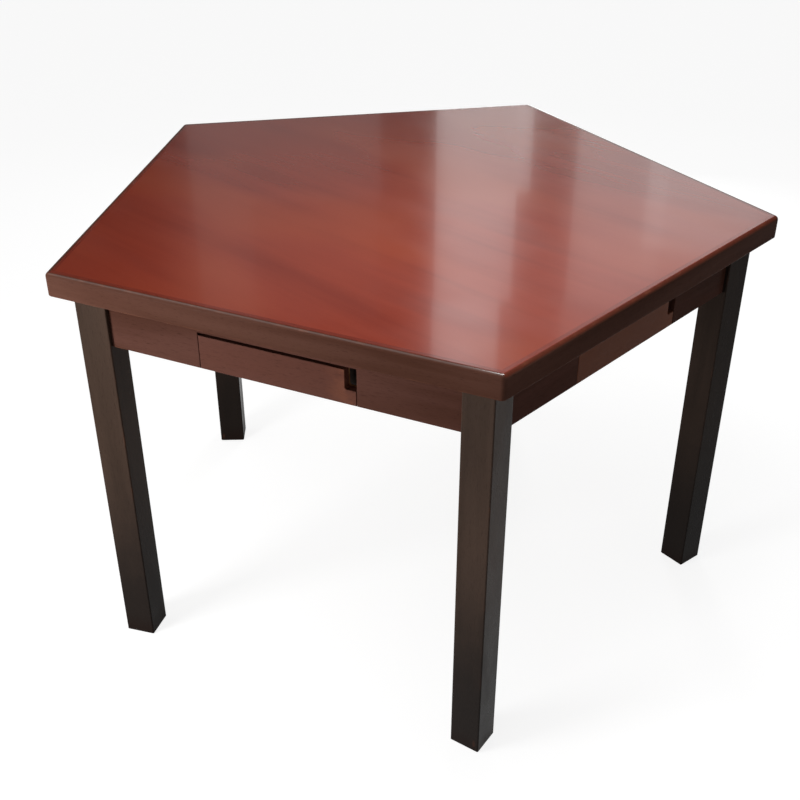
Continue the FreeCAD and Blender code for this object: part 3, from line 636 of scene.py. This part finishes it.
class TableStage(bpy.types.PropertyGroup):
    """Camera, lamps and backdrop."""

    camera_place: FloatVectorProperty(name="Camera place", description="Place of the camera", subtype="XYZ",
                                      default=(0.7931, -1.7947, 1.4811), unit="LENGTH")
    camera_tilt: angle("Camera tilt", "Camera's angle up from straight down", 58.913)
    camera_turn: angle("Camera turn", "Camera's angle to the left of straight back", 24.994)
    lens: number("Lens", "Focal length of the camera in millimetres", 50.67, 1)
    floor_reach: length("Floor reach", "Middle of the floor to its edge", 30.0)
    floor_glow: FloatProperty(name="Floor glow", description="Share of the floor's white that needs no lamp",
                              default=0.85, min=0, max=1, subtype="FACTOR")
    room: number("Room", "Brightness of the room above the floor", 0.12)
    horizon: number("Horizon", "Brightness of the backdrop near the floor", 0.93)
    sky: number("Skylight", "Strength of the wide soft lamp overhead", 0.72)
    sky_spread: angle("Skylight spread", "Width of the overhead lamp", 55)


class StageOperator(bpy.types.Operator):
    """Camera at the photograph's angle, pale floor, backdrop and soft lamps."""

    bl_idname = "games_table.stage"
    bl_label = "Stage"

    def execute(self, context):
        stage = context.scene.games_table_stage
        self.camera(context, stage)
        context.scene.view_settings.view_transform = "Standard"
        self.floor(context, stage)
        self.backdrop(context, stage)
        self.lamps(context, stage)
        return {"FINISHED"}

    def camera(self, context, stage):
        camera = bpy.data.cameras.new("camera")
        camera.lens = stage.lens
        camera.clip_end = CLIP_END
        holder = bpy.data.objects.new("camera", camera)
        holder.location = stage.camera_place
        holder.rotation_euler = (stage.camera_tilt, 0, stage.camera_turn)
        context.scene.collection.objects.link(holder)
        context.scene.camera = holder

    def floor(self, context, stage):
        reach = stage.floor_reach
        mesh = bpy.data.meshes.new("floor")
        corners = [(-reach, -reach, 0), (reach, -reach, 0), (reach, reach, 0), (-reach, reach, 0)]
        mesh.from_pydata(corners, [], [(0, 1, 2, 3)])
        floor = bpy.data.objects.new("floor", mesh)
        context.scene.collection.objects.link(floor)
        mesh.materials.append(self.floor_finish(context.scene.games_table_colours.floor, stage.floor_glow))

    def floor_finish(self, grey, glow_share):
        """Matt floor that glows where it is seen, and is clear from below."""
        finish = new_finish("floor_white")
        camera, glossy, through = (finish.node("ShaderNodeLightPath", output=f"Is {kind} Ray")
                                   for kind in ("Camera", "Glossy", "Transmission"))
        seen = finish.math("MINIMUM", camera + glossy + through, 1.0)
        glow = finish.node("ShaderNodeEmission", inputs={"Color": (1, 1, 1), "Strength": seen * glow_share})
        matt = finish.node("ShaderNodeBsdfDiffuse", inputs={"Color": tuple(grey)})
        both = finish.node("ShaderNodeAddShader", inputs={0: matt, 1: glow})
        below = finish.node("ShaderNodeNewGeometry", output="Backfacing")
        return finish.blend(below, both, finish.node("ShaderNodeBsdfTransparent"))

    def backdrop(self, context, stage):
        world = bpy.data.worlds.new("room")
        context.scene.world = world
        finish = Finish(world)
        direction = finish.node("ShaderNodeTexCoord", output="Generated")
        height = finish.node("ShaderNodeSeparateXYZ", inputs={0: direction}, output=2)
        aside = finish.toward(direction, CAMERA_RIGHT)
        ahead = finish.toward(direction, CAMERA_AHEAD)
        room = finish.between(aside, *LEFT_EDGE, stage.room * LEFT_SHARE, stage.room)
        dim = finish.between(height, *HIGH_EDGE) * finish.between(ahead, *AHEAD_EDGE)
        room = room * (1 - dim * HIGH_CUT)
        level = finish.between(height, *HORIZON_EDGE, stage.horizon, room)
        shade = finish.tree.nodes["Background"]
        finish.tree.links.new(level.socket, shade.inputs["Strength"])
        shade.inputs["Color"].default_value = (1, 1, 1, 1)

    def lamps(self, context, stage):
        sun = bpy.data.lights.new("skylight", "SUN")
        sun.energy = stage.sky
        sun.angle = stage.sky_spread
        self.place(context, sun, SKYLIGHT_PLACE, Vector())
        for name, power, side, spot, target in LAMPS:
            self.panel(context, name, power, side, side, Vector(spot), Vector(target))
        mirrored = Vector(stage.camera_place)
        mirrored.z = 2 * TABLE_HEIGHT - mirrored.z
        for name, start, end, low, high, brightness in WINDOWS:
            heading = stage.camera_turn - math.radians((start + end) / 2)
            width = 2 * WINDOW_DISTANCE * math.tan(math.radians(end - start) / 2)
            self.window(context, name, mirrored, heading, width, (low, high), brightness)

    def window(self, context, name, eye, heading, width, elevations, brightness):
        """Upright panel between two elevations, at a heading, as seen from a point."""
        bottom, top = (WINDOW_DISTANCE * math.tan(math.radians(degrees)) for degrees in elevations)
        forward = Vector((-math.sin(heading), math.cos(heading), 0))
        spot = eye + forward * WINDOW_DISTANCE + Vector((0, 0, (bottom + top) / 2))
        power = brightness * math.pi * width * (top - bottom)
        self.panel(context, name, power, width, top - bottom, spot, Vector((eye.x, eye.y, spot.z)))

    def panel(self, context, name, power, width, height, spot, target):
        lamp = bpy.data.lights.new(name, "AREA")
        lamp.shape = "RECTANGLE"
        lamp.energy = power
        lamp.size = width
        lamp.size_y = height
        self.place(context, lamp, spot, target)

    def place(self, context, lamp, spot, target):
        """Puts a lamp in its place, unseen by the camera and facing a point."""
        holder = bpy.data.objects.new(lamp.name, lamp)
        holder.location = spot
        holder.rotation_euler = (target - spot).to_track_quat("-Z", "Y").to_euler()
        holder.visible_camera = False
        context.scene.collection.objects.link(holder)


class TopOperator(bpy.types.Operator):
    """Lacquer on the top panel and its lippings."""

    bl_idname = "games_table.top"
    bl_label = "Top"

    def execute(self, context):
        colours = context.scene.games_table_colours
        dress("top_panel", top_finish(colours))
        for index, side in enumerate(SIDES):
            dress(f"lipping_{side}", lipping_finish(colours, index))
        return {"FINISHED"}


class ApronOperator(bpy.types.Operator):
    """Lacquer on the aprons, bare wood on their inner sides."""

    bl_idname = "games_table.aprons"
    bl_label = "Aprons"

    def execute(self, context):
        for index, side in enumerate(SIDES):
            dress(f"apron_{side}", apron_finish(context.scene.games_table_colours, index))
        return {"FINISHED"}


class LegOperator(bpy.types.Operator):
    """Dark lacquer on the legs."""

    bl_idname = "games_table.legs"
    bl_label = "Legs"

    def execute(self, context):
        for index, corner in enumerate(CORNERS):
            dress(f"leg_{corner}", leg_finish(context.scene.games_table_colours, index))
        return {"FINISHED"}


class DrawerOperator(bpy.types.Operator):
    """Lacquered faces and plain insides of the drawers."""

    bl_idname = "games_table.drawers"
    bl_label = "Drawers"

    def execute(self, context):
        colours = context.scene.games_table_colours
        for index, side in enumerate(SIDES):
            dress(f"{side}_drawer_face", face_finish(colours, index))
            walls = wall_finish(colours, index)
            for hand in HANDS:
                dress(f"{side}_drawer_{hand}_wall", walls)
            dress(f"{side}_drawer_back", back_finish(colours, index))
            dress(f"{side}_drawer_bottom", bottom_finish(colours, index))
        return {"FINISHED"}


class RunnerOperator(bpy.types.Operator):
    """Beech on the runners and corner blocks."""

    bl_idname = "games_table.runners"
    bl_label = "Runners and corner blocks"

    def execute(self, context):
        colours = context.scene.games_table_colours
        for index, side in enumerate(SIDES):
            beech = beech_finish(colours, f"runner_beech_{side}", side_turn(index), True, 43 + index)
            for hand in HANDS:
                dress(f"{side}_runner_{hand}", beech)
        for index, corner in enumerate(CORNERS):
            beech = beech_finish(colours, f"block_beech_{corner}", corner_turn(index), False, 53 + index)
            dress(f"corner_block_{corner}", beech)
        return {"FINISHED"}


class FastenerOperator(bpy.types.Operator):
    """Zinc on the bolts, nuts and coach screws, and small wood screws with a cross in the head."""

    bl_idname = "games_table.fasteners"
    bl_label = "Fasteners"

    def execute(self, context):
        zinc = zinc_finish(context.scene.games_table_colours)
        for node in ("hanger_bolts", "nuts", "coach_screws"):
            dress(node, zinc)
        sizes = context.scene.games_table_sizes
        self.runner_screws(context, sizes, zinc)
        self.block_screws(context, sizes, zinc)
        return {"FINISHED"}

    def runner_screws(self, context, sizes, zinc):
        """A row of screws up through each runner."""
        low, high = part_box("front_runner_right")
        start, end = low.y + sizes.runner_inset, high.y - sizes.runner_inset
        gaps = max(sizes.screws_each - 1, 1)
        for index, side in enumerate(SIDES):
            spots = []
            for sign in HANDS.values():
                x = sign * (high.x - sizes.runner_side)
                for step in range(sizes.screws_each):
                    y = start + (end - start) * step / gaps
                    spots.append((Vector((x, y, low.z)), Vector((0, 0, -1))))
            self.screws(context, f"{side}_runner_screws", spots, side_turn(index), zinc)

    def block_screws(self, context, sizes, zinc):
        """Two screws at each end of a corner block's inner face."""
        back_out, half = self.block_face()
        low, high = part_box("corner_block_front_right")
        for index, corner in enumerate(CORNERS):
            spots = []
            for sign in HANDS.values():
                for share in BLOCK_SCREW_SHARES:
                    height = low.z + (high.z - low.z) * share
                    spot = AXIS_POINT + Vector((sign * (half - sizes.block_inset), -back_out, height))
                    spots.append((spot, Vector((0, 1, 0))))
            self.screws(context, f"{corner}_block_screws", spots, corner_turn(index), zinc)

    def block_face(self):
        """Distance of a corner block's inner face from the middle axis, and half its width."""
        turn = Matrix.Rotation(-corner_turn(0), 3, "Z")
        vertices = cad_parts["corner_block_front_right"].data.vertices
        corners = [turn @ (vertex.co - AXIS_POINT) for vertex in vertices]
        back_out = -max(corner.y for corner in corners)
        half = max(corner.x for corner in corners if corner.y > -back_out - FACE_SLACK)
        return back_out, half

    def screws(self, context, name, spots, turn, zinc):
        """One mesh of screws that are placed on the front side and turned with their own side."""
        mesh = bpy.data.meshes.new(name)
        build = bmesh.new()
        swing = Matrix.Rotation(turn, 4, "Z")
        swing = Matrix.Translation(AXIS_POINT) @ swing @ Matrix.Translation(-AXIS_POINT)
        for step, (spot, way) in enumerate(spots):
            upright = way.to_track_quat("Z", "Y").to_matrix().to_4x4()
            spin = Matrix.Rotation(SPIN_EACH * step + SPIN_OF_TURN * turn, 4, "Z")
            place = swing @ Matrix.Translation(spot) @ upright @ spin
            self.head(build, place, context.scene.games_table_sizes)
        build.to_mesh(mesh)
        build.free()
        mesh.materials.append(zinc)
        screws = bpy.data.objects.new(name, mesh)
        context.scene.collection.objects.link(screws)
        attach(screws, "frame")

    def head(self, build, place, sizes):
        """Countersunk head: flat rim, cross recess that narrows downwards, cone below."""
        radius = sizes.head / 2
        levels = ((radius * CONE_SHARE, -sizes.sink), (radius, -sizes.rise), (radius, 0.0),
                  (radius * CROWN_SHARE, sizes.rise))
        rings = [self.ring(build, place, reach, height) for reach, height in levels]
        for lower, upper in zip(rings, rings[1:]):
            self.skirt(build, lower, upper)
        build.faces.new(list(reversed(rings[0])))
        arm, tip = sizes.recess * ARM_SHARE, sizes.recess / 2
        outline = []
        for quarter in range(4):
            spin = Matrix.Rotation(quarter * QUARTER, 3, "Z")
            outline += [spin @ Vector(corner) for corner in ((tip, -arm, 0), (tip, arm, 0), (arm, arm, 0))]
        mouth = self.outline_row(build, place, outline, 1, sizes.rise)
        floor = self.outline_row(build, place, outline, CROSS_FLOOR_SHARE, sizes.rise - sizes.recess_depth)
        self.skirt(build, mouth, floor)
        build.faces.new(floor)
        edges = self.edges(build, rings[-1]) + self.edges(build, mouth)
        bmesh.ops.triangle_fill(build, edges=edges, use_beauty=True)
        bmesh.ops.recalc_face_normals(build, faces=build.faces)

    def ring(self, build, place, reach, height):
        """Round row of corners."""
        angles = [math.tau * step / HEAD_FACETS for step in range(HEAD_FACETS)]
        corners = [Vector((reach * math.cos(angle), reach * math.sin(angle), height)) for angle in angles]
        return [build.verts.new(place @ corner) for corner in corners]

    def outline_row(self, build, place, outline, scale, height):
        """Row of corners along an outline."""
        corners = [Vector((corner.x * scale, corner.y * scale, height)) for corner in outline]
        return [build.verts.new(place @ corner) for corner in corners]

    def skirt(self, build, first, second):
        """Faces between two closed rows of corners."""
        for step in range(len(first)):
            following = (step + 1) % len(first)
            build.faces.new((first[step], first[following], second[following], second[step]))

    def edges(self, build, row):
        """Edges of a closed row of corners."""
        return [build.edges.get((row[step], row[(step + 1) % len(row)])) for step in range(len(row))]


class TablePanel(bpy.types.Panel):
    """Lists the parts of the finish in the sidebar."""

    bl_idname = "GAMES_TABLE_PT_finish"
    bl_label = "Games table"
    bl_space_type = "VIEW_3D"
    bl_region_type = "UI"
    bl_category = "Games table"

    def draw(self, context):
        for operator in OPERATORS:
            self.layout.operator(operator.bl_idname)
        for name in GROUPS:
            group = getattr(context.scene, name)
            for key in group.bl_rna.properties.keys():
                if key not in ("rna_type", "name"):
                    self.layout.prop(group, key)


OPERATORS = (StageOperator, TopOperator, ApronOperator, LegOperator, DrawerOperator, RunnerOperator,
             FastenerOperator)
GROUPS = {
    "games_table_colours": TableColours,
    "games_table_sizes": TableSizes,
    "games_table_stage": TableStage,
}


def register():
    for kind in (*GROUPS.values(), *OPERATORS, TablePanel):
        bpy.utils.register_class(kind)
    for name, kind in GROUPS.items():
        setattr(bpy.types.Scene, name, PointerProperty(type=kind))


def unregister():
    for name in GROUPS:
        delattr(bpy.types.Scene, name)
    for kind in reversed((*GROUPS.values(), *OPERATORS, TablePanel)):
        bpy.utils.unregister_class(kind)


def main():
    register()
    for operator in OPERATORS:
        family, name = operator.bl_idname.split(".")
        getattr(getattr(bpy.ops, family), name)()


if __name__ == "__main__":
    main()
